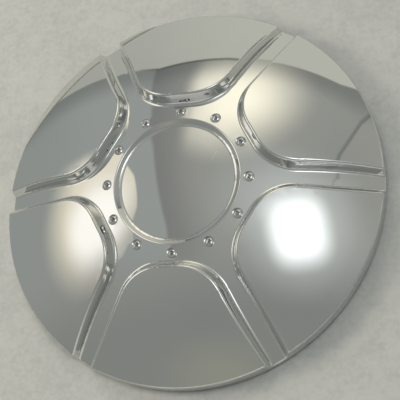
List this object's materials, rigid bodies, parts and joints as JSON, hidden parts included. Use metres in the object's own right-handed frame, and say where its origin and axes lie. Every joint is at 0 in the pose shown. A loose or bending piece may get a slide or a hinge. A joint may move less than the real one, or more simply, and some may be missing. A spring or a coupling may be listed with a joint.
{
  "type": "wheel center cap",
  "caption": "Large round chrome wheel center cap with raised domed panels between spoke grooves, a bare round recess and a ring of small rivets.",
  "frame": {"origin": "on the cap's axis, in the plane of the tips of the snap legs", "axes": "+Z along the cap's axis out of its bright face, +X along one spoke groove"},
  "size_m": [0.22, 0.22, 0.0333],
  "materials": {
    "cap_chrome": "mirror plated",
    "rivet_chrome": "bright plated",
    "spring_steel": "drawn wire"
  },
  "bodies": {
    "root": {"cap_shell": "cap_chrome", "rivets": "rivet_chrome", "retaining_ring": "spring_steel"}
  },
  "joints": []
}
